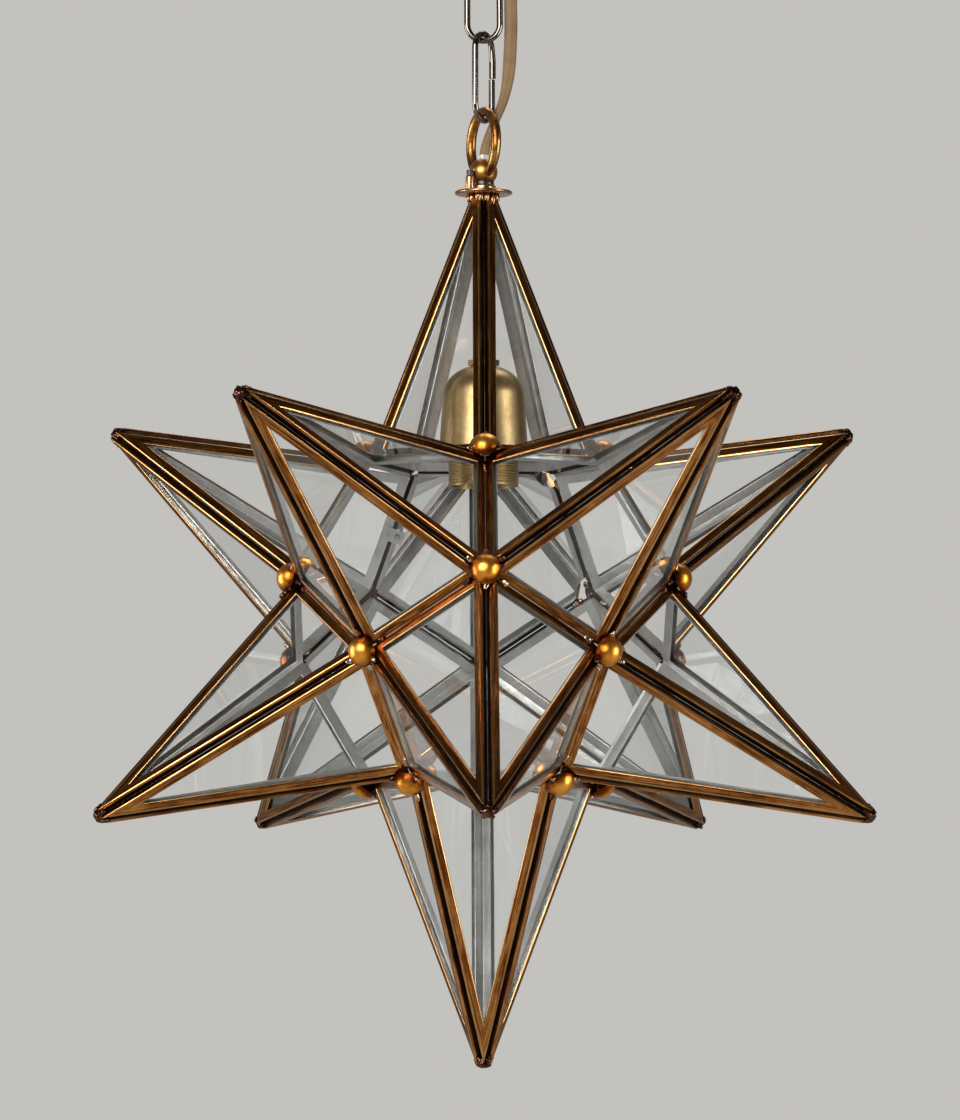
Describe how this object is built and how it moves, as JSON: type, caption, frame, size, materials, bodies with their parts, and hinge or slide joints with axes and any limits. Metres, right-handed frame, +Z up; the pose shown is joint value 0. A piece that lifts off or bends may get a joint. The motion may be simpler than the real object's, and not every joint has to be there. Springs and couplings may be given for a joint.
{
  "type": "star pendant lantern",
  "caption": "Star-shaped lantern of clear glass in brass channels, hung by a ring and chain links from a ceiling cup, with a screw lampholder inside and a hinged rear point.",
  "frame": {"origin": "middle of the ceiling cup on the ceiling plane, between the two ceiling screws", "axes": "+Z up to the ceiling, +X to the right seen from the front, -Y towards the front; the hinged point faces +Y"},
  "size_m": [0.421, 0.442, 0.6616],
  "materials": {
    "came_brass": "antique copper-brown, reflective",
    "clear_glass": "clear",
    "button_brass": "polished",
    "solder": "darkened tin solder",
    "flex_sheath": "tan, slightly translucent",
    "chain_nickel": "aged nickel plate",
    "clear_plastic": "translucent",
    "fitting_plastic": "moulded",
    "ceramic": "glazed ceramic",
    "steel": "dark zinc",
    "satin_brass": "satin antique",
    "aged_brass": "aged"
  },
  "bodies": {
    "ceiling": {"canopy": "satin_brass", "ceiling_bracket": "steel", "bracket_nut": "steel", "ceiling_hook": "aged_brass", "canopy_nut": "satin_brass", "cord_grip": "fitting_plastic", "cord_grip_nut": "fitting_plastic", "terminal_block": "fitting_plastic", "terminal_screws": "steel", "flex_ceiling": "flex_sheath"},
    "upper_link": {"link_upper": "chain_nickel", "flex_upper": "flex_sheath"},
    "lower_link": {"link_lower": "chain_nickel", "flex_lower": "flex_sheath"},
    "ring": {"suspension_ring": "aged_brass"},
    "star": {"ball_finial": "aged_brass", "bell": "satin_brass", "bell_nut": "satin_brass", "buttons": "button_brass", "catch_keeper": "aged_brass", "centre_contact": "aged_brass", "collar": "aged_brass", "collar_nut": "aged_brass", "flex_bush": "clear_plastic", "flex_ring": "flex_sheath", "flex_stem": "flex_sheath", "frame_bottom": "came_brass", "frame_lower_front": "came_brass", "frame_lower_left": "came_brass", "frame_lower_rear_left": "came_brass", "frame_lower_rear_right": "came_brass", "frame_lower_right": "came_brass", "frame_top": "came_brass", "frame_upper_front_left": "came_brass", "frame_upper_front_right": "came_brass", "frame_upper_left": "came_brass", "frame_upper_right": "came_brass", "glass_bottom": "clear_glass", "glass_lower": "clear_glass", "glass_top": "clear_glass", "glass_upper": "clear_glass", "hinge_knuckles": "aged_brass", "lamp_cap": "satin_brass", "lock_nut": "steel", "post": "aged_brass", "post_screw": "steel", "screw_shell": "aged_brass", "shade_ring": "satin_brass", "socket_insert": "ceramic", "socket_screws": "steel", "solder_tips": "solder", "stem": "steel", "threaded_sleeve": "satin_brass"},
    "rear_point": {"frame_upper_rear": "came_brass", "glass_rear_door": "clear_glass", "solder_tip_door": "solder", "buttons_door": "button_brass", "hinge_knuckle_door": "aged_brass", "hinge_pin": "steel", "catch_stud": "aged_brass"}
  },
  "joints": [
    {"name": "hook_swing", "type": "hinge", "parent": "ceiling", "child": "upper_link", "pos_m": [0, 0, -0.04995], "axis": [0, 1, 0], "range_deg": [-8, 8], "deforming": ["flex_ceiling"]},
    {"name": "link_swing", "type": "hinge", "parent": "upper_link", "child": "lower_link", "pos_m": [0, 0, -0.0939], "axis": [1, 0, 0], "range_deg": [-10, 10], "deforming": ["flex_upper"]},
    {"name": "ring_swing", "type": "hinge", "parent": "lower_link", "child": "ring", "pos_m": [0, 0, -0.1386], "axis": [0.521, 0.8536, 0], "range_deg": [-10, 10], "deforming": ["flex_lower"]},
    {"name": "star_tilt", "type": "hinge", "parent": "ring", "child": "star", "pos_m": [0, 0, -0.16734], "axis": [0.3827, -0.9239, 0], "range_deg": [-12, 12], "deforming": ["flex_ring"]},
    {"name": "rear_point_hinge", "type": "hinge", "parent": "star", "child": "rear_point", "pos_m": [0.05315, 0.07316, -0.36015], "axis": [0.309, 0.4253, -0.8507], "range_deg": [0, 90]}
  ]
}
